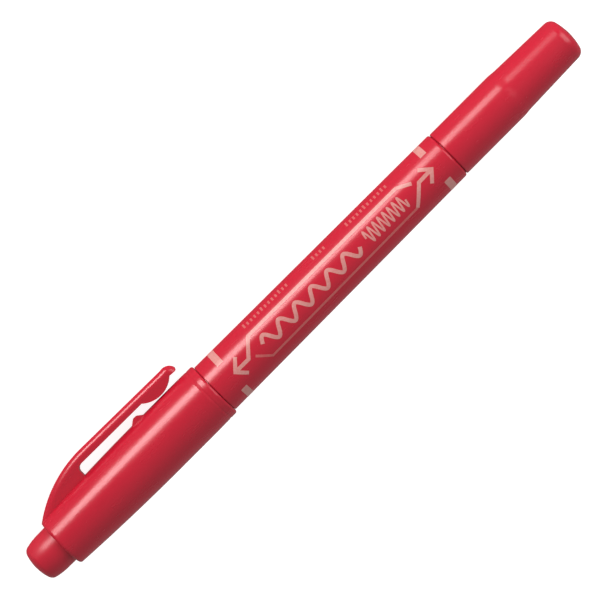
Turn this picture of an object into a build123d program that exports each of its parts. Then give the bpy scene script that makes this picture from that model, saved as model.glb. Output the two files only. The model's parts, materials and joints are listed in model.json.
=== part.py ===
from build123d import *
import os
from math import asin, cos, radians, sin, sqrt, tan

# A twin-ended refillable marker, lying on its side. Millimetres.
# +X runs along the pen's axis, from the tail of the large cap to the end of the small cap.
# The origin is on the axis, where the small cap's mouth meets the barrel. +Z is up.

# ---- driving dimensions ----

# lengths along the pen, from its tail; together they are the overall length of 139 mm
plug_length = 6.4
large_shell_length = 40.1
barrel_length = 61.0
small_cap_length = 31.5

# how far the clip hangs below the horizontal when the pen lies at rest on cap and clip
clip_droop = 26.95

# outer radii
plug_r = 4.2
large_cap_tail_r = 5.21
large_cap_r = 5.99
large_cap_mouth_r = 5.93
barrel_large_r = 5.41
barrel_small_r = 5.1
small_cap_r = 4.98
small_cap_cone_r = 4.82
small_cap_end_r = 4.46

# fits: radial clearances between pieces that slide on each other
snap_clearance = 0.03
slide_clearance = 0.07
seam_gap = 0.1

# small details that repeat
groove_depth = 0.05
mouth_chamfer = 0.2
gate_r = 0.55
gate_depth = 0.08
overrun = 1.0

# stations along the axis
small_seam = 0.0
large_seam = small_seam - barrel_length
shoulder = large_seam - large_shell_length
tail = shoulder - plug_length
tip = small_seam + small_cap_length

# large cap: bores, groove and liner
large_bore_r = 5.0
large_bore_depth = 10.3
large_seat_r = 4.6
large_end_wall = 1.5
plug_spigot_r = 3.6
large_lead = 0.8
liner_wall = 0.5
liner_start = tail + 9.0
liner_length = 18.5
liner_end_wall = 0.8
mouth_line = shoulder + 38.5

# clip, along the pen from the cap's shoulder and outward from the axis
clip_width = 4.4
clip_widest = 8.44
clip_side_lean = 12
clip_crown = 1.15
clip_root = 3.5
clip_back_r = 24.67
clip_top = 9.74
clip_tip_top = 9.46
clip_under = 7.7
clip_tip_under = 7.47
clip_level = 14.55
slot_start = 12.0
slot_corner = 1.0
hinge_offset = 13.2
grip_centre = 32.3
grip_r = 5.2
grip_low = 6.15
clip_length = 37.7
bump_centre = 26.0
bump_base = 5.0
bump_half_base = 2.7
bump_half_top = 0.35
bump_top = 6.76
bump_width = 3.0
bump_round = 0.5

# barrel
barrel_bore_r = 4.45
neck_r = 4.93
neck_length = 6.5
bead_width = 0.8
bead_from_mouth = 4.25

# fine end: section, nib holder and nib, measured from the tail
section_flange = 1.6
land_r = 4.03
land_start = tail + 24.0
land_end = tail + 28.0
section_front = tail + 22.0
section_front_r = 3.75
grip_end_r = 4.55
holder_front = tail + 17.6
fine_tip = tail + 14.6
fine_nib_r = 0.75
holder_r = 2.55
holder_seat = 14.0

# cartridge
tube_r = 4.2
tube_bore_r = 3.72
tube_start = tail + 46.0
tube_end = tail + 97.0
spigot_length = 7.0
film_r = 3.6
film_wall = 0.1
reservoir_start = tail + 54.0
reservoir_end = tail + 90.5
nib_depth = 5.0
end_spigot_length = 5.5
end_flange = 1.2
nose_r = 2.92
nose_end = tail + 117.2
feed_r = 0.85
feed_end = tail + 120.0
feed_depth = 4.5

# extra-fine end
nozzle_bore_r = 3.0
nozzle_spigot_length = 8.4
nozzle_neck_r = 4.35
nozzle_neck_length = 8.6
nozzle_nose_r = 3.6
nozzle_tip_r = 2.3
nozzle_length = 16.6
needle_bore_r = 1.62
needle_r = 1.56
needle_start = tail + 113.0
needle_shoulder = tail + 125.0
needle_end = tail + 129.2
needle_tip_r = 0.55
extra_fine_r = 0.3
extra_fine_depth = 1.0
extra_fine_tip = tail + 130.6

# small cap: bores and liner
small_bore_r = nozzle_neck_r + slide_clearance
small_bore_depth = 10.7
small_seat_r = 3.9
small_seat_end = tail + 137.2
small_lead = 0.6
small_liner_start = tail + 119.0
small_liner_lip_r = 3.2
small_liner_lip = 0.6
small_liner_end_wall = 0.6
small_bead_from_mouth = 2.4


# ---- helpers ----

def turned(*curves):
    """A solid of revolution about the pen's axis, from curves that close an (x, radius) outline."""
    edges = [edge for curve in curves for edge in curve.edges()]
    return revolve(make_face(edges), axis=Axis.X)


def tube(start, end, outer_r, inner_r=0.0):
    """A straight tube or rod along the pen's axis."""
    outline = Polyline((start, inner_r), (end, inner_r), (end, outer_r), (start, outer_r), close=True)
    return turned(outline)


def cone(start, end, start_r, end_r):
    """A solid cone along the pen's axis."""
    return turned(Polyline((start, 0), (end, 0), (end, end_r), (start, start_r), close=True))


def dome(apex, rim_r, rise):
    """The arc of a dome centred on the axis, from its apex to its rim. A negative rise faces +X."""
    ball_r = (rim_r**2 + rise**2) / 2 / rise
    half_turn = asin(rim_r / abs(ball_r)) / 2
    middle = (apex + ball_r * (1 - cos(half_turn)), abs(ball_r) * sin(half_turn))
    return ThreePointArc((apex, 0), middle, (apex + rise, rim_r))


def ring_edges(solid, station, radius, reach=0.01):
    """The circular edges of a turned solid at one station and radius."""
    found = []
    for edge in solid.edges().filter_by(GeomType.CIRCLE):
        off_station = abs(edge.center(CenterOf.BOUNDING_BOX).X - station)
        if off_station < reach and abs(edge.radius - radius) < reach:
            found.append(edge)
    return found


def gate_mark(station):
    """The shallow round mark that the mould's gate leaves in the middle of an end."""
    return tube(station - gate_depth, station + gate_depth, gate_r)


def at_rest(shape):
    """Turns a piece of the large cap, drawn with its clip towards +Y, to where it lies at rest."""
    return Rot(-clip_droop, 0, 0) * shape


# ---- large cap ----

def large_cap_outside():
    """The large cap's outer form: a long shallow curve that swells from the tail, then a short draft."""
    tail_round = 0.6
    mouth_round = 0.45
    level = shoulder + 26.1
    widest = shoulder + 35.2
    swell_r = large_cap_r - 0.015
    swell = swell_r - large_cap_tail_r
    bend_r = ((level - shoulder) ** 2 + swell**2) / 2 / swell
    half = (level - shoulder) / 2
    middle = (level - half, swell_r - bend_r + sqrt(bend_r**2 - half**2))
    start = Polyline((shoulder, 0), (shoulder, large_cap_tail_r))
    curve = ThreePointArc((shoulder, large_cap_tail_r), middle, (level, swell_r))
    rest = Polyline((level, swell_r), (widest, large_cap_r), (large_seam, large_cap_mouth_r),
                    (large_seam, 0), (shoulder, 0))
    body = turned(start, curve, rest)
    body = fillet(ring_edges(body, shoulder, large_cap_tail_r), tail_round)
    body = fillet(ring_edges(body, large_seam, large_cap_mouth_r), mouth_round)
    return body - mould_line()


def mould_line():
    """The faint V-shaped ring beside the mouth, where two parts of the mould met."""
    half_width = 0.45
    depth = 0.04
    top_r = large_cap_mouth_r + depth
    bottom_r = large_cap_mouth_r - depth
    return turned(Polyline((mouth_line - half_width, top_r), (mouth_line, bottom_r),
                           (mouth_line + half_width, top_r), close=True))


def large_cap_inside():
    """Everything hollow in the large cap: the plug's hole, the liner's seat, the neck's bore and groove."""
    bore_start = large_seam - large_bore_depth
    bead = large_seam - bead_from_mouth
    plug_hole = tube(shoulder - overrun, shoulder + large_end_wall, plug_spigot_r)
    seat = tube(shoulder + large_end_wall, bore_start, large_seat_r)
    lead = cone(bore_start, bore_start + large_lead, large_seat_r, large_bore_r)
    bore = tube(bore_start + large_lead, large_seam + overrun, large_bore_r)
    groove = tube(bead - bead_width, bead + bead_width, large_bore_r + groove_depth)
    mouth = cone(large_seam - mouth_chamfer, large_seam, large_bore_r, large_bore_r + mouth_chamfer)
    return plug_hole + seat + lead + bore + groove + mouth


def clip_half_width(height):
    """Half the clip's width at a height over the axis: its sides lean in towards the cap."""
    return clip_width / 2 + (height - clip_widest) * tan(radians(clip_side_lean))


def clip_sides():
    """The long wedge between the clip's two leaning sides."""
    low = clip_root
    high = clip_top + overrun
    outline = Polyline((shoulder, low, -clip_half_width(low)), (shoulder, low, clip_half_width(low)),
                       (shoulder, high, clip_half_width(high)), (shoulder, high, -clip_half_width(high)),
                       close=True)
    return extrude(make_face(outline.edges()), large_shell_length, dir=(1, 0, 0))


def clip_moulding():
    """The whole clip, web and arm together, drawn towards +Y: a side outline with a crowned back."""
    level = shoulder + clip_level
    centre_y = clip_top - clip_back_r
    foot = (shoulder, centre_y + sqrt(clip_back_r**2 - clip_level**2))
    half = radians(18)
    middle = (level - clip_back_r * sin(half), centre_y + clip_back_r * cos(half))
    end = shoulder + clip_length
    slot = shoulder + slot_start
    grip_x = shoulder + grip_centre
    grip_y = grip_low + grip_r
    under_y = (clip_under + clip_tip_under) / 2
    half_chord = sqrt(grip_r**2 - (grip_y - under_y) ** 2)
    nose_start = end - 2.3
    nose_bulge = (end - 0.52, 9.0)
    nose_end = (end, 8.2)
    heel_bulge = (end - 0.1, 7.72)
    heel = end - 0.45

    back = ThreePointArc(foot, middle, (level, clip_top))
    top = Line((level, clip_top), (nose_start, clip_tip_top))
    nose = ThreePointArc((nose_start, clip_tip_top), nose_bulge, nose_end)
    chin = ThreePointArc(nose_end, heel_bulge, (heel, clip_tip_under))
    tip_under = Line((heel, clip_tip_under), (grip_x + half_chord, under_y))
    grip = ThreePointArc((grip_x + half_chord, under_y), (grip_x, grip_low), (grip_x - half_chord, under_y))
    under = Line((grip_x - half_chord, under_y), (slot + slot_corner, clip_under))
    turn = slot_corner * (1 - sqrt(0.5))
    corner = ThreePointArc((slot + slot_corner, clip_under), (slot + turn, clip_under - turn),
                           (slot, clip_under - slot_corner))
    web = Polyline((slot, clip_under - slot_corner), (slot, clip_root), (shoulder, clip_root), foot)
    edges = [edge for curve in (back, top, nose, chin, tip_under, grip, under, corner, web)
             for edge in curve.edges()]
    body = extrude(make_face(edges), clip_width, both=True) & clip_sides()

    back_edges = []
    above_slot = clip_under + 0.3
    for edge in body.edges():
        point = edge @ 0.5
        on_side = abs(abs(point.Z) - clip_half_width(point.Y)) < 0.01
        if on_side and point.Y > above_slot:
            back_edges.append(edge)
    return fillet(back_edges, clip_crown)


def clip_half(toward_tip):
    """The clip's springy arm, past the hinge line, or the web behind it."""
    hinge = shoulder + hinge_offset
    size = 2 * large_shell_length
    centre = hinge + size / 2 if toward_tip else hinge - size / 2
    return clip_moulding() & Pos(centre, 0, 0) * Box(size, size, size)


def grip_bump():
    """The small ramp on the cap that the clip presses cloth or paper against."""
    centre = shoulder + bump_centre
    outline = Polyline((centre - bump_half_base, bump_base), (centre - bump_half_top, bump_top),
                       (centre + bump_half_top, bump_top), (centre + bump_half_base, bump_base), close=True)
    body = extrude(make_face(outline.edges()), bump_width / 2, both=True)
    top_edges = body.edges().filter_by(Axis.Z).group_by(Axis.Y)[-1]
    return fillet(top_edges, bump_round)


def large_cap_shell():
    """The large cap's shell, with the clip's web and the small ramp moulded on it."""
    outside = large_cap_outside() + clip_half(toward_tip=False) + grip_bump()
    return at_rest(outside - large_cap_inside())


def large_cap_clip():
    """The clip's arm, from its hinge line to its tip."""
    return at_rest(clip_half(toward_tip=True))


def large_cap_tail_plug():
    """The domed plug in the large cap's tail, hollow from inside."""
    dome_r = 2.75
    dome_rise = 0.42
    rim = (tail + dome_rise, dome_r)
    corner_bulge = (tail + 0.72, 3.32)
    corner_end = (tail + 1.3, 3.76)
    side_bulge = (tail + 2.54, 4.02)
    side_end = (tail + 4.2, plug_r - 0.04)
    spigot_end = tail + 9.0
    hollow_start = tail + 1.6
    hollow_r = 2.9
    end = dome(tail, dome_r, dome_rise)
    corner = ThreePointArc(rim, corner_bulge, corner_end)
    side = ThreePointArc(corner_end, side_bulge, side_end)
    rest = Polyline(side_end, (shoulder, plug_r), (shoulder, plug_spigot_r),
                    (spigot_end, plug_spigot_r), (spigot_end, 0), (tail, 0))
    body = turned(end, corner, side, rest)
    return body - tube(hollow_start, spigot_end + overrun, hollow_r) - gate_mark(tail)


def large_cap_inner_cap():
    """The soft liner: a cup pressed into the shell, with a lip that seals on the section's land."""
    end = liner_start + liner_length
    cup = tube(liner_start, end, large_seat_r)
    cup = chamfer(ring_edges(cup, end, large_seat_r), mouth_chamfer)
    return cup - tube(liner_start + liner_end_wall, end + overrun, large_seat_r - liner_wall)


# ---- small cap ----

def small_cap_outside():
    """The small cap's outer form: a parallel stretch, a soft waist, a long taper and a domed end."""
    waist_start = tail + 122.3
    waist_end = tail + 124.7
    taper_end = tail + 137.0
    dome_r = 3.43
    dome_rise = 0.5
    corner_bulge = (tail + 137.98, 4.1)
    mouth_round = 0.25
    waist_middle = ((waist_start + waist_end) / 2, (small_cap_r + small_cap_cone_r) / 2)
    parallel = Polyline((small_seam, 0), (small_seam, small_cap_r), (waist_start, small_cap_r))
    leave = TangentArc((waist_start, small_cap_r), waist_middle, tangent=(1, 0))
    settle = TangentArc(waist_middle, (waist_end, small_cap_cone_r), tangent=leave % 1)
    taper = Line((waist_end, small_cap_cone_r), (taper_end, small_cap_end_r))
    corner = ThreePointArc((taper_end, small_cap_end_r), corner_bulge, (tip - dome_rise, dome_r))
    end = dome(tip, dome_r, -dome_rise)
    body = turned(parallel, leave, settle, taper, corner, end, Line((tip, 0), (small_seam, 0)))
    return fillet(ring_edges(body, small_seam, small_cap_r), mouth_round)


def small_cap_shell():
    """The small cap's shell: a bore with a groove for the nozzle's bead, and the liner's seat."""
    bore_end = small_seam + small_bore_depth
    bead = small_seam + small_bead_from_mouth
    bore = tube(small_seam - overrun, bore_end, small_bore_r)
    groove = tube(bead - bead_width, bead + bead_width, small_bore_r + groove_depth)
    lead = cone(bore_end, bore_end + small_lead, small_bore_r, small_seat_r)
    seat = tube(bore_end + small_lead, small_seat_end, small_seat_r)
    mouth = cone(small_seam, small_seam + mouth_chamfer, small_bore_r + mouth_chamfer, small_bore_r)
    return small_cap_outside() - (bore + groove + lead + seat + mouth) - gate_mark(tip)


def small_cap_inner_cap():
    """The small liner: a cup with a lip that seals on the nozzle's nose."""
    bore_start = small_liner_start + small_liner_lip
    bore_end = small_seat_end - small_liner_end_wall
    cup = tube(small_liner_start, small_seat_end, small_seat_r)
    lip = tube(small_liner_start - overrun, bore_start, small_liner_lip_r)
    return cup - tube(bore_start, bore_end, small_seat_r - liner_wall) - lip


# ---- barrel ----

def barrel():
    """The printed body: a long taper, a neck with a snap bead, and a bore from end to end."""
    start = large_seam + seam_gap
    end = small_seam - seam_gap
    neck_start = start - neck_length
    small_end_round = 0.5
    large_end_round = 0.12
    neck_chamfer = 0.15
    body = cone(start, end, barrel_large_r, barrel_small_r)
    body = fillet(ring_edges(body, end, barrel_small_r), small_end_round)
    body = fillet(ring_edges(body, start, barrel_large_r), large_end_round)
    neck = tube(neck_start, start, neck_r)
    neck = chamfer(ring_edges(neck, neck_start, neck_r), neck_chamfer)
    bead = snap_bead(large_seam - bead_from_mouth, neck_r, large_bore_r - snap_clearance)
    return body + neck + bead - tube(neck_start - overrun, end + overrun, barrel_bore_r)


def snap_bead(station, foot_r, crest_r):
    """A ring with two sloping faces that clicks into a cap's groove."""
    half = bead_width / 2
    return cone(station - half, station, foot_r, crest_r) + cone(station, station + half, crest_r, foot_r)


def extra_fine_nozzle():
    """The front piece in the barrel's thin end: a spigot, a neck with a bead, and a tapered nose."""
    start = small_seam - seam_gap
    neck_end = start + nozzle_neck_length
    end = start + nozzle_length
    step = tail + 117.5
    neck_chamfer = 0.2
    tip_round = 0.4
    spigot = tube(start - nozzle_spigot_length, start, barrel_bore_r)
    neck = tube(start, neck_end, nozzle_neck_r)
    neck = chamfer(ring_edges(neck, neck_end, nozzle_neck_r), neck_chamfer)
    bead = snap_bead(small_seam + small_bead_from_mouth, nozzle_neck_r, small_bore_r - snap_clearance)
    nose = cone(neck_end, end, nozzle_nose_r, nozzle_tip_r)
    nose = fillet(ring_edges(nose, end, nozzle_tip_r), tip_round)
    wide_bore = tube(start - nozzle_spigot_length - overrun, step, nozzle_bore_r)
    needle_bore = tube(step, end + overrun, needle_bore_r)
    return spigot + neck + bead + nose - wide_bore - needle_bore


# ---- refill: fine end ----

def grip_section():
    """The grip and seal at the fine end. It plugs into the barrel and carries the cartridge."""
    flange_end = large_seam + seam_gap - neck_length
    flange_start = flange_end - section_flange
    nib_bore_r = 1.2
    front_round = 0.35
    ring_count = 4
    first_ring = land_end + 2.4
    ring_pitch = 1.7
    ring_width = 0.7
    ring_floor_step = 0.06
    front = cone(section_front, land_start, section_front_r, land_r)
    front = fillet(ring_edges(front, section_front, section_front_r), front_round)
    land = tube(land_start, land_end, land_r)
    grip = cone(land_end, flange_start, land_r, grip_end_r)
    flange = tube(flange_start, flange_end, neck_r - snap_clearance)
    plug = tube(flange_end, tube_start, barrel_bore_r - snap_clearance)
    spigot = tube(tube_start, tube_start + spigot_length, tube_bore_r)
    body = front + land + grip + flange + plug + spigot
    for place in range(ring_count):
        station = first_ring + ring_pitch * place
        body -= tube(station, station + ring_width, large_cap_r, land_r + ring_floor_step * place)
    holder_bore = tube(section_front - overrun, section_front + holder_seat, holder_r)
    return body - holder_bore - tube(section_front, tube_start + spigot_length + overrun, nib_bore_r)


def fine_nib_holder():
    """The cone that grips the fine nib, with four air slots beside it."""
    front_r = 1.35
    front_round = 0.25
    flange_r = 3.3
    slot_middle = (holder_front + 3.2, 0, 2.9)
    slot_size = (2.2, 0.45, 1.6)
    cone_body = cone(holder_front, section_front, front_r, flange_r)
    cone_body = fillet(ring_edges(cone_body, holder_front, front_r), front_round)
    body = cone_body + tube(section_front, section_front + holder_seat, holder_r)
    body -= tube(holder_front - overrun, section_front + holder_seat + overrun, fine_nib_r)
    for turn in range(45, 360, 90):
        body -= Rot(turn, 0, 0) * Pos(*slot_middle) * Box(*slot_size)
    return body


def fine_nib():
    """A bonded-fibre rod with a bullet point, from the paper back into the reservoir."""
    point_r = 0.42
    point_round = 0.35
    taper_end = fine_tip + 1.8
    taper = cone(fine_tip, taper_end, point_r, fine_nib_r)
    taper = fillet(ring_edges(taper, fine_tip, point_r), point_round)
    return taper + tube(taper_end, reservoir_start + nib_depth, fine_nib_r)


# ---- refill: cartridge ----

def cartridge_tube():
    """The clear tube that the wadding sits in."""
    return tube(tube_start, tube_end, tube_r, tube_bore_r)


def ink_reservoir():
    """The fibre wadding, with the sockets that the nib and the feed rod push into."""
    body = tube(reservoir_start, reservoir_end, film_r - film_wall)
    nib_socket = tube(reservoir_start - overrun, reservoir_start + nib_depth, fine_nib_r)
    feed_socket = tube(reservoir_end - feed_depth, reservoir_end + overrun, feed_r)
    return body - nib_socket - feed_socket


def reservoir_film():
    """The film sleeve round the wadding."""
    return tube(reservoir_start, reservoir_end, film_r, film_r - film_wall)


def cartridge_end_plug():
    """Closes the tube's rear. Its long nose slides in the nozzle and holds the extra-fine end."""
    nose_chamfer = 0.3
    spigot = tube(tube_end - end_spigot_length, tube_end, tube_bore_r)
    flange = tube(tube_end, tube_end + end_flange, tube_r)
    nose = tube(tube_end + end_flange, nose_end, nose_r)
    nose = chamfer(ring_edges(nose, nose_end, nose_r), nose_chamfer)
    feed_bore = tube(tube_end - end_spigot_length - overrun, needle_start, feed_r)
    needle_bore = tube(needle_start, nose_end + overrun, needle_r)
    return spigot + flange + nose - feed_bore - needle_bore


def extra_fine_feed_rod():
    """The relay wick, with a socket for the extra-fine nib."""
    socket = tube(feed_end - extra_fine_depth, feed_end + overrun, extra_fine_r)
    return tube(reservoir_end - feed_depth, feed_end, feed_r) - socket


def extra_fine_nib_holder():
    """The slim tapered sleeve at the extra-fine end."""
    tip_round = 0.12
    taper = cone(needle_shoulder, needle_end, needle_r, needle_tip_r)
    taper = fillet(ring_edges(taper, needle_end, needle_tip_r), tip_round)
    body = tube(needle_start, needle_shoulder, needle_r) + taper
    feed_bore = tube(needle_start - overrun, feed_end, feed_r)
    return body - feed_bore - tube(feed_end, needle_end + overrun, extra_fine_r)


def extra_fine_nib():
    """The thin bonded-fibre rod that writes the extra-fine line."""
    tip_round = 0.22
    rod = tube(feed_end - extra_fine_depth, extra_fine_tip, extra_fine_r)
    return fillet(ring_edges(rod, extra_fine_tip, extra_fine_r), tip_round)


# ---- write one STEP per piece ----

pieces = {
    "barrel": barrel,
    "extra_fine_nozzle": extra_fine_nozzle,
    "large_cap_shell": large_cap_shell,
    "large_cap_clip": large_cap_clip,
    "large_cap_tail_plug": large_cap_tail_plug,
    "large_cap_inner_cap": large_cap_inner_cap,
    "small_cap_shell": small_cap_shell,
    "small_cap_inner_cap": small_cap_inner_cap,
    "grip_section": grip_section,
    "fine_nib_holder": fine_nib_holder,
    "fine_nib": fine_nib,
    "cartridge_tube": cartridge_tube,
    "ink_reservoir": ink_reservoir,
    "reservoir_film": reservoir_film,
    "cartridge_end_plug": cartridge_end_plug,
    "extra_fine_feed_rod": extra_fine_feed_rod,
    "extra_fine_nib_holder": extra_fine_nib_holder,
    "extra_fine_nib": extra_fine_nib,
}

os.makedirs("parts", exist_ok=True)
for name, build in pieces.items():
    piece = build()
    solids = piece.solids()
    export_step(solids[0] if len(solids) == 1 else Compound(solids), f"parts/{name}.step")
    print(name, len(solids), "solid, volume", round(sum(solid.volume for solid in solids), 2), "mm3")
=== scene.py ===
import json
from math import ceil, cos, pi, radians, sin

import bmesh
import bpy
from mathutils import Matrix, Vector


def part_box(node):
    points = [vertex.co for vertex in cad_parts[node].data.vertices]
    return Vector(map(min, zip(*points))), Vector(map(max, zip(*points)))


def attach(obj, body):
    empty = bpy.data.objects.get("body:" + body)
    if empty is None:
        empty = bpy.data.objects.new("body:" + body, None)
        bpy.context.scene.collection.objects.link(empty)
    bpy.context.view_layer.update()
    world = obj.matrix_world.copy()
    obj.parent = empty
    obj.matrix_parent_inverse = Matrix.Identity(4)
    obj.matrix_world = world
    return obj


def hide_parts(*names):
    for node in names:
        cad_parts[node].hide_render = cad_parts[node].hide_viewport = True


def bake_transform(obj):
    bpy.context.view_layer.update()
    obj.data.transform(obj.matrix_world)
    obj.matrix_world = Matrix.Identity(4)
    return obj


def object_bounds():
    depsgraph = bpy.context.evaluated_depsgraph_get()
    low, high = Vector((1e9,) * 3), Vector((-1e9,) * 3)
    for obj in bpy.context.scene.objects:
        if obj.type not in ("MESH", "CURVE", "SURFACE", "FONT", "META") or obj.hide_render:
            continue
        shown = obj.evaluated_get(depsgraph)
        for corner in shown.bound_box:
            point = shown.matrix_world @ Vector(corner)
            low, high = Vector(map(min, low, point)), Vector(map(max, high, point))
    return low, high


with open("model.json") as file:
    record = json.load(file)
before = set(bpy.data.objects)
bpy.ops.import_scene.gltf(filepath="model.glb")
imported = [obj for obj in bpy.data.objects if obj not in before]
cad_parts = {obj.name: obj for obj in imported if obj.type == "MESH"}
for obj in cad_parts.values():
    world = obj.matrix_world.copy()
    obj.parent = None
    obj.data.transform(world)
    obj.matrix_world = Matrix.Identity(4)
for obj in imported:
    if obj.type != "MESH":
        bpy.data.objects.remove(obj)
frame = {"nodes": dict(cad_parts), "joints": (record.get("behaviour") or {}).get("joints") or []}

CAD_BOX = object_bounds()
NODES = frame["nodes"]
MM = 0.001

# ---- the pen's own directions and places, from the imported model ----


def joint(name):
    """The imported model's joint of that name."""
    return next(j for j in frame["joints"] if j["name"] == name)


ALONG = Vector((1, 0, 0))
FACING = Vector(joint("clip_flex")["axis"]).normalized()
CLIP_SIDE = FACING.cross(ALONG).normalized()
LARGE_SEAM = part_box("large_cap_shell")[1].x
FLOOR = CAD_BOX[0].z

# ---- colours and surfaces ----

PLASTIC_IOR = 1.49
NATURAL_IOR = 1.48
SOAKED_IOR = 1.4
TUBE_IOR = 1.45
RED = (0.465, 0.009, 0.028)
RED_PALE = (0.49, 0.01, 0.03)
RED_DEEP = (0.44, 0.008, 0.026)
RED_UNDER_INK = (0.49, 0.009, 0.027)
FULL_INK = (0.57, 0.28, 0.25)
THIN_INK = (0.52, 0.12, 0.115)
LINER_COLOR = (0.82, 0.8, 0.76)
SECTION_COLOR = (0.8, 0.79, 0.76)
HOLDER_COLOR = (0.84, 0.82, 0.78)
SOAKED_FIBRE = (0.3, 0.008, 0.02)
FIBRE_LIGHT = (0.42, 0.015, 0.03)
FIBRE_DARK = (0.16, 0.004, 0.012)
TUBE_COLOR = (0.93, 0.9, 0.88)
TUBE_LIGHT = (0.97, 0.95, 0.94)
TUBE_DARK = (0.93, 0.88, 0.86)
FILM_COLOR = (0.6, 0.02, 0.05)
FILM_LIGHT = (0.7, 0.035, 0.07)
FILM_DARK = (0.5, 0.01, 0.03)

# lowest and highest roughness
GLOSSY_RED = (0.22, 0.29)
SATIN_RED = (0.3, 0.38)
SATIN_NATURAL = (0.32, 0.45)


class Shader:
    """A Principled material and short ways to add nodes to it."""

    def __init__(self, name, color, roughness, **sockets):
        self.material = bpy.data.materials.new(name)
        self.material.use_nodes = True
        self.tree = self.material.node_tree
        self.bsdf = self.tree.nodes["Principled BSDF"]
        self.bsdf.inputs["Base Color"].default_value = (*color, 1)
        self.bsdf.inputs["Roughness"].default_value = roughness
        for socket, value in sockets.items():
            self.bsdf.inputs[socket.replace("_", " ")].default_value = value

    def node(self, kind, **settings):
        made = self.tree.nodes.new(kind)
        for key, value in settings.items():
            if key in made.inputs:
                made.inputs[key].default_value = value
            else:
                setattr(made, key, value)
        return made

    def link(self, source, target):
        self.tree.links.new(source, target)

    def place(self, stretch=(1, 1, 1)):
        """Coordinates on the pen, in millimetres."""
        coords = self.node("ShaderNodeTexCoord")
        scale = self.node("ShaderNodeMapping")
        scale.inputs["Scale"].default_value = [1000 * s for s in stretch]
        self.link(coords.outputs["Object"], scale.inputs["Vector"])
        return scale.outputs["Vector"]

    def noise(self, size_mm, stretch=(1, 1, 1), detail=3.0, roughness=0.5):
        """Noise of a grain size in millimetres; a stretch below 1 draws it out along that axis."""
        made = self.node("ShaderNodeTexNoise", Scale=1 / size_mm, Detail=detail, Roughness=roughness)
        self.link(self.place(stretch), made.inputs["Vector"])
        return made.outputs["Fac"]

    def span(self, value, low, high, to_low, to_high):
        """The value's range from low to high, mapped to another range."""
        made = self.node("ShaderNodeMapRange")
        self.link(value, made.inputs["Value"])
        made.inputs["From Min"].default_value = low
        made.inputs["From Max"].default_value = high
        made.inputs["To Min"].default_value = to_low
        made.inputs["To Max"].default_value = to_high
        return made.outputs["Result"]

    def mix(self, factor, color_a, color_b):
        """Two colours mixed by a factor."""
        made = self.node("ShaderNodeMix", data_type="RGBA")
        self.link(factor, made.inputs["Factor"])
        # the node's colour sockets share their names with its other sockets, so they go by number
        first, second, result = made.inputs[6], made.inputs[7], made.outputs[2]
        first.default_value = (*color_a, 1)
        second.default_value = (*color_b, 1)
        return result

    def bump(self, height, distance_mm, below=None):
        """A bump of a depth in millimetres, on top of another one if given."""
        made = self.node("ShaderNodeBump", Strength=1.0, Distance=distance_mm * MM)
        self.link(height, made.inputs["Height"])
        if below is not None:
            self.link(below, made.inputs["Normal"])
        return made.outputs["Normal"]


def moulded_red(name, finish):
    """Red polypropylene between two roughnesses, with flow mottle, orange peel and handling scratches."""
    smooth, rough = finish
    made = Shader(name, RED, smooth, IOR=PLASTIC_IOR)
    mottle = made.noise(size_mm=9, stretch=(0.35, 1, 1), detail=4)
    made.link(made.mix(mottle, RED_PALE, RED_DEEP), made.bsdf.inputs["Base Color"])
    smear = made.noise(size_mm=2.4, stretch=(0.3, 1, 1), detail=5, roughness=0.65)
    made.link(made.span(smear, 0.3, 0.7, smooth, rough), made.bsdf.inputs["Roughness"])
    peel = made.bump(made.noise(size_mm=0.9, detail=2), distance_mm=0.0025)
    fine_lines = made.noise(size_mm=0.08, stretch=(0.05, 1, 1), detail=2)
    scratched = made.bump(fine_lines, distance_mm=0.0003, below=peel)
    made.link(scratched, made.bsdf.inputs["Normal"])
    return made.material


def printed_ink(name, color):
    """Screen-printed ink: pale, thin and slightly uneven over the red."""
    show_through = 0.35
    made = Shader(name, color, 0.36, IOR=PLASTIC_IOR)
    cover = made.span(made.noise(size_mm=0.35, detail=4, roughness=0.7), 0.35, 0.62, 0, 1)
    thin = tuple(a + (b - a) * show_through for a, b in zip(color, RED_UNDER_INK))
    made.link(made.mix(cover, thin, color), made.bsdf.inputs["Base Color"])
    made.link(made.bump(made.noise(size_mm=0.12, detail=3), distance_mm=0.004), made.bsdf.inputs["Normal"])
    return made.material


def natural_plastic(name, color, through):
    """Uncoloured moulded plastic that lets a little light in."""
    smooth, rough = SATIN_NATURAL
    made = Shader(name, color, smooth, IOR=NATURAL_IOR)
    made.bsdf.inputs["Subsurface Weight"].default_value = through
    made.bsdf.inputs["Subsurface Radius"].default_value = (1.2 * MM, 1.0 * MM, 0.8 * MM)
    flow = made.noise(size_mm=3.5, detail=4)
    dark = tuple(0.9 * c for c in color)
    made.link(made.mix(flow, color, dark), made.bsdf.inputs["Base Color"])
    made.link(made.span(flow, 0.3, 0.7, smooth, rough), made.bsdf.inputs["Roughness"])
    made.link(made.bump(made.noise(size_mm=0.4, detail=3), distance_mm=0.004), made.bsdf.inputs["Normal"])
    return made.material


def ink_fibre(name, grain_mm):
    """Bonded fibre soaked with red ink: fine strands along the pen."""
    made = Shader(name, SOAKED_FIBRE, 0.7, IOR=SOAKED_IOR)
    strands = made.noise(size_mm=grain_mm, stretch=(0.08, 1, 1), detail=4, roughness=0.6)
    made.link(made.mix(strands, FIBRE_LIGHT, FIBRE_DARK), made.bsdf.inputs["Base Color"])
    made.link(made.bump(strands, distance_mm=0.03), made.bsdf.inputs["Normal"])
    return made.material


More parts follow.
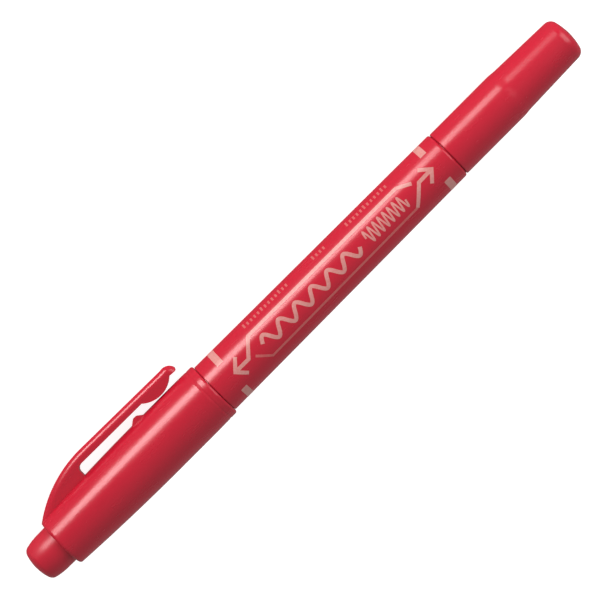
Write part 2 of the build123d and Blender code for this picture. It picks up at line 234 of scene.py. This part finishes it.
def clear_plastic():
    """The see-through drawn tube of the cartridge, faintly streaked along its length."""
    made = Shader("cartridge_plastic", TUBE_COLOR, 0.1, IOR=TUBE_IOR)
    made.bsdf.inputs["Transmission Weight"].default_value = 0.97
    streak = made.noise(size_mm=2.5, stretch=(0.1, 1, 1), detail=3)
    made.link(made.mix(streak, TUBE_LIGHT, TUBE_DARK), made.bsdf.inputs["Base Color"])
    made.link(made.bump(streak, distance_mm=0.004), made.bsdf.inputs["Normal"])
    return made.material


def stained_film():
    """Thin glossy film, wrinkled and stained by the ink behind it."""
    made = Shader("stained_film", FILM_COLOR, 0.18, IOR=PLASTIC_IOR)
    stain = made.noise(size_mm=1.2, stretch=(0.5, 1, 1), detail=5, roughness=0.6)
    made.link(made.mix(stain, FILM_LIGHT, FILM_DARK), made.bsdf.inputs["Base Color"])
    wrinkles = made.noise(size_mm=1.5, stretch=(0.4, 1, 1), detail=3)
    made.link(made.bump(wrinkles, distance_mm=0.03), made.bsdf.inputs["Normal"])
    return made.material


def paint(nodes, material):
    """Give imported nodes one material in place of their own."""
    for name in nodes:
        slots = NODES[name].data.materials
        slots.clear()
        slots.append(material)


# ---- printed marks: thin solid ribbons laid round the barrel ----

PRINT_LIFT = 0.012 * MM      # thickness of the ink
PRINT_STEP = 0.5 * MM        # longest face along a stroke
PRINT_CELL = 0.3 * MM        # widest face across a stroke
MITRE_LIMIT = 0.35           # keeps the corners of sharp turns short

BARREL_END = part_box("barrel")[1].x
BARREL_LARGE_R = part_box("barrel")[1].z
BARREL_NARROWING = 0.31 * MM
BARREL_TAPER = BARREL_NARROWING / (BARREL_END - LARGE_SEAM)


def barrel_radius(x):
    """The barrel's radius at a station, on its straight taper."""
    return BARREL_LARGE_R - (x - LARGE_SEAM) * BARREL_TAPER


def on_barrel(x, turn, lift):
    """A point at station x, turned from the facing side towards the clip side, above the barrel."""
    out = cos(turn) * FACING + sin(turn) * CLIP_SIDE
    return ALONG * x + out * (barrel_radius(x) + lift)


def ribbon_edges(points, width):
    """Left and right edges of a mitred stroke through (x, turn) points; turns are scaled to lengths."""
    flat = [Vector((x, turn * barrel_radius(x))) for x, turn in points]
    dense = [flat[0]]
    for a, b in zip(flat, flat[1:]):
        count = max(1, ceil((b - a).length / PRINT_STEP))
        dense += [a.lerp(b, i / count) for i in range(1, count + 1)]
    left, right = [], []
    for i, p in enumerate(dense):
        before = (p - dense[i - 1]).normalized() if i else (dense[1] - p).normalized()
        after = (dense[i + 1] - p).normalized() if i + 1 < len(dense) else before
        along = (before + after).normalized()
        side = Vector((-along.y, along.x))
        reach = width / 2 / max(MITRE_LIMIT, side.dot(Vector((-before.y, before.x))))
        left.append(p + side * reach)
        right.append(p - side * reach)
    return left, right


def add_ribbon(mesh, points, width):
    """One thin, curved solid for a stroke."""
    left, right = ribbon_edges(points, width)
    across = max(1, ceil(width / PRINT_CELL))
    rows = []
    for a, b in zip(left, right):
        row = []
        for lift in (0.0, PRINT_LIFT):
            line = []
            for i in range(across + 1):
                q = a.lerp(b, i / across)
                line.append(mesh.verts.new(on_barrel(q.x, q.y / barrel_radius(q.x), lift)))
            row.append(line)
        rows.append(row)
    for (low_a, high_a), (low_b, high_b) in zip(rows, rows[1:]):
        for i in range(across):
            mesh.faces.new((high_a[i], high_a[i + 1], high_b[i + 1], high_b[i]))
            mesh.faces.new((low_a[i], low_b[i], low_b[i + 1], low_a[i + 1]))
        mesh.faces.new((low_a[0], high_a[0], high_b[0], low_b[0]))
        mesh.faces.new((low_a[-1], low_b[-1], high_b[-1], high_a[-1]))
    for (low, high), flip in ((rows[0], False), (rows[-1], True)):
        for i in range(across):
            face = (low[i], low[i + 1], high[i + 1], high[i])
            mesh.faces.new(tuple(reversed(face)) if flip else face)


def print_object(name, strokes, material):
    """One piece from many strokes, each (points, width)."""
    mesh = bmesh.new()
    for points, width in strokes:
        add_ribbon(mesh, points, width)
    bmesh.ops.recalc_face_normals(mesh, faces=mesh.faces)
    data = bpy.data.meshes.new(name)
    mesh.to_mesh(data)
    mesh.free()
    made = bpy.data.objects.new(name, data)
    bpy.context.scene.collection.objects.link(made)
    data.materials.append(material)
    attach(made, "barrel")


# Places in the print: millimetres along the barrel from the large cap's mouth, and degrees turned
# from the facing side towards the clip.


def at(station_mm, turn_deg):
    """A point of the print, from its station and turn."""
    return LARGE_SEAM + station_mm * MM, radians(turn_deg)


def arc_round(station_mm, from_deg, to_deg):
    """Points round the barrel at one station."""
    step_deg = 4
    count = max(2, ceil(abs(to_deg - from_deg) / step_deg))
    return [at(station_mm, from_deg + (to_deg - from_deg) * i / count) for i in range(count + 1)]


def ring_bands():
    """Broad bands round the barrel near both ends, open where the arrows are."""
    left = arc_round(4.1, 27, 318)
    right = arc_round(57.4, 37, 323)
    return [(left, 1.45 * MM), (right, 1.5 * MM)]


def arrow_frame():
    """Two long lines with kinked ends that run into an arrowhead at each end of the barrel."""
    stroke = 0.72 * MM
    upper = [at(5.4, -6), at(8.4, -6), at(11.3, 28), at(49.5, 28), at(52.2, 11)]
    right_shaft = [at(49.9, -35), at(53.3, 2), at(56.3, 3)]
    left_head = [at(6.9, 16), at(5.0, -6), at(6.7, -26)]
    right_head = [at(54.7, 22), at(56.65, 3), at(54.9, -19)]
    return [(upper, stroke), (right_shaft, stroke), (left_head, stroke), (right_head, stroke)]


def arrow_frame_underline():
    """The frame's lower line, printed finer and thinner than the rest."""
    return [([at(9.7, -11.5), at(12.1, -37.5), at(49.9, -35)], 0.5 * MM)]


def wave(start_mm, end_mm, centre_deg, swing_deg, waves):
    """An even wave, drawn along the barrel."""
    points_per_wave = 24
    count = int(waves * points_per_wave)
    points = []
    for i in range(count + 1):
        share = i / count
        turn = centre_deg + swing_deg * sin(2 * pi * waves * share)
        points.append(at(start_mm + (end_mm - start_mm) * share, turn))
    return points


def line_samples():
    """A broad and a fine wavy line: what the pen's two ends draw."""
    broad = wave(12.2, 37.3, centre_deg=-5, swing_deg=13, waves=6)
    fine = wave(39.2, 49.3, centre_deg=-3, swing_deg=15, waves=8)
    return [(broad, 0.75 * MM), (fine, 0.34 * MM)]


def scale_ticks():
    """Faint short ticks in rows above the frame, every fifth one longer."""
    pitch = 0.9
    foot_deg, short_deg, long_deg = 47, 57, 61
    ticks = []
    for start, end in ((12.0, 23.5), (29.8, 33.2), (38.5, 49.0)):
        for i in range(int((end - start) / pitch) + 1):
            station = start + pitch * i
            top_deg = short_deg if i % 5 else long_deg
            ticks.append(([at(station, foot_deg), at(station, top_deg)], 0.4 * MM))
    return ticks


def barrel_print(full_ink, thin_ink):
    """All printed pieces, in two strengths of ink."""
    print_object("print_rings", ring_bands(), full_ink)
    print_object("print_arrows", arrow_frame(), full_ink)
    print_object("print_underline", arrow_frame_underline(), thin_ink)
    print_object("print_line_samples", line_samples(), full_ink)
    print_object("print_ticks", scale_ticks(), thin_ink)


# ---- the clip's arm ----


def clip_arm(material):
    """The CAD clip's own mesh, copied into a piece of its own with the given material; the CAD node is
    hidden.
    """
    data = NODES["large_cap_clip"].data.copy()
    data.materials.clear()
    data.materials.append(material)
    arm = bpy.data.objects.new("clip_arm", data)
    bpy.context.scene.collection.objects.link(arm)
    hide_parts("large_cap_clip")
    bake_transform(arm)


# ---- stage, light and camera ----

# turns are degrees from the facing side towards the clip side, sizes and distances are metres

STRIP_TURN = 48.5
STRIP_DISTANCE = 1.0
STRIP_SIZE = (0.4, 0.44)
STRIP_MIDDLE = -0.12
STRIP_WATTS = 7.9
STRIP_COLOR = (1, 0.82, 0.82)
SIDE_SIZE = (0.4, 0.4)
SIDE_PLACE = 0.33
SIDE_HEIGHT = 0.3
SIDE_WATTS = 1.4
SKY_TURN = -60
SKY_DIM = 0.08
SKY_BRIGHT = 0.42
FLOOR_HALF = 2.0
FLOOR_GREY = 0.5
FLOOR_GLOW = 0.88

CAMERA_TILT = 45.1
CAMERA_DISTANCE = 0.8
FRAME_WIDTH = 110.5 * MM
SENSOR_WIDTH = 36
AIM_ALONG = -0.3 * MM
AIM_CLIP_SIDE = 0.408 * MM


def floor():
    """A plain, pale, faintly glowing floor under the pen."""
    data = bpy.data.meshes.new("floor")
    signs = ((-1, -1), (1, -1), (1, 1), (-1, 1))
    corners = [(x * FLOOR_HALF, y * FLOOR_HALF, FLOOR) for x, y in signs]
    data.from_pydata(corners, [], [(0, 1, 2, 3)])
    made = bpy.data.objects.new("floor", data)
    bpy.context.scene.collection.objects.link(made)
    paper = Shader("pale_floor", (FLOOR_GREY, FLOOR_GREY, FLOOR_GREY), 0.9)
    paper.bsdf.inputs["Emission Color"].default_value = (1, 1, 1, 1)
    paper.bsdf.inputs["Emission Strength"].default_value = FLOOR_GLOW
    data.materials.append(paper.material)
    made.visible_glossy = False


def area_light(name, place, target, size, watts, color=(1, 1, 1)):
    """A soft rectangular light at a place, turned to a target."""
    lamp = bpy.data.lights.new(name, "AREA")
    lamp.shape = "RECTANGLE"
    lamp.size, lamp.size_y = size
    lamp.energy = watts
    lamp.color = color
    made = bpy.data.objects.new(name, lamp)
    back = (place - target).normalized()
    up = back.cross(ALONG).normalized()
    rows = Matrix((up.cross(back), up, back)).transposed()
    made.matrix_world = Matrix.Translation(place) @ rows.to_4x4()
    bpy.context.scene.collection.objects.link(made)


def toward(turn_deg):
    """A direction across the pen, turned from the facing side towards the clip side."""
    return cos(radians(turn_deg)) * FACING + sin(radians(turn_deg)) * CLIP_SIDE


def world_light():
    """A soft sky that brightens towards one direction across the pen."""
    world = bpy.data.worlds.new("studio")
    bpy.context.scene.world = world
    world.use_nodes = True
    tree = world.node_tree
    background = tree.nodes["Background"]
    background.inputs["Color"].default_value = (1, 1, 1, 1)
    coords = tree.nodes.new("ShaderNodeTexCoord")
    facing = tree.nodes.new("ShaderNodeVectorMath")
    facing.operation = "DOT_PRODUCT"
    facing.inputs[1].default_value = toward(SKY_TURN)
    strength = tree.nodes.new("ShaderNodeMapRange")
    strength.inputs["From Min"].default_value = -1
    strength.inputs["From Max"].default_value = 1
    strength.inputs["To Min"].default_value = SKY_DIM
    strength.inputs["To Max"].default_value = SKY_BRIGHT
    tree.links.new(coords.outputs["Generated"], facing.inputs[0])
    tree.links.new(facing.outputs["Value"], strength.inputs["Value"])
    tree.links.new(strength.outputs["Result"], background.inputs["Strength"])


def lights():
    """A broad light that draws the long highlight, and a smaller one beyond the small cap."""
    aim = ALONG * STRIP_MIDDLE
    strip = aim + toward(STRIP_TURN) * STRIP_DISTANCE
    area_light("strip", strip, aim, STRIP_SIZE, STRIP_WATTS, STRIP_COLOR)
    side = ALONG * SIDE_PLACE + FACING * SIDE_HEIGHT
    area_light("side", side, Vector((0, 0, 0)), SIDE_SIZE, SIDE_WATTS)


def camera():
    """A long lens square to the clip, with the pen running up to the right at 45 degrees."""
    tilt = radians(CAMERA_TILT)
    data = bpy.data.cameras.new("camera")
    data.sensor_width = SENSOR_WIDTH
    data.lens = SENSOR_WIDTH * CAMERA_DISTANCE / FRAME_WIDTH
    data.clip_start = 0.05
    data.clip_end = 20
    made = bpy.data.objects.new("camera", data)
    right = cos(tilt) * ALONG - sin(tilt) * CLIP_SIDE
    up = sin(tilt) * ALONG + cos(tilt) * CLIP_SIDE
    middle_x = (CAD_BOX[0].x + CAD_BOX[1].x) / 2 + AIM_ALONG
    target = Vector((middle_x, 0, 0)) + CLIP_SIDE * AIM_CLIP_SIDE
    rows = Matrix((right, up, FACING)).transposed()
    made.matrix_world = Matrix.Translation(target + FACING * CAMERA_DISTANCE) @ rows.to_4x4()
    bpy.context.scene.collection.objects.link(made)
    bpy.context.scene.camera = made


# ---- make it ----

camera()
bpy.context.scene.view_settings.view_transform = "Standard"
red = moulded_red("moulded_red", GLOSSY_RED)
paint(["barrel", "extra_fine_nozzle", "large_cap_shell", "small_cap_shell"], red)
paint(["large_cap_tail_plug"], moulded_red("plug_red", SATIN_RED))
paint(["large_cap_inner_cap", "small_cap_inner_cap"], natural_plastic("liner_plastic", LINER_COLOR, 0.3))
paint(["grip_section", "cartridge_end_plug"], natural_plastic("section_plastic", SECTION_COLOR, 0.1))
paint(["fine_nib_holder", "extra_fine_nib_holder"], natural_plastic("holder_plastic", HOLDER_COLOR, 0.2))
paint(["cartridge_tube"], clear_plastic())
paint(["fine_nib", "extra_fine_nib", "extra_fine_feed_rod"], ink_fibre("nib_fibre", 0.08))
paint(["ink_reservoir"], ink_fibre("wadding_fibre", 0.2))
paint(["reservoir_film"], stained_film())
barrel_print(printed_ink("printed_ink", FULL_INK), printed_ink("thin_ink", THIN_INK))
clip_arm(red)
floor()
world_light()
lights()
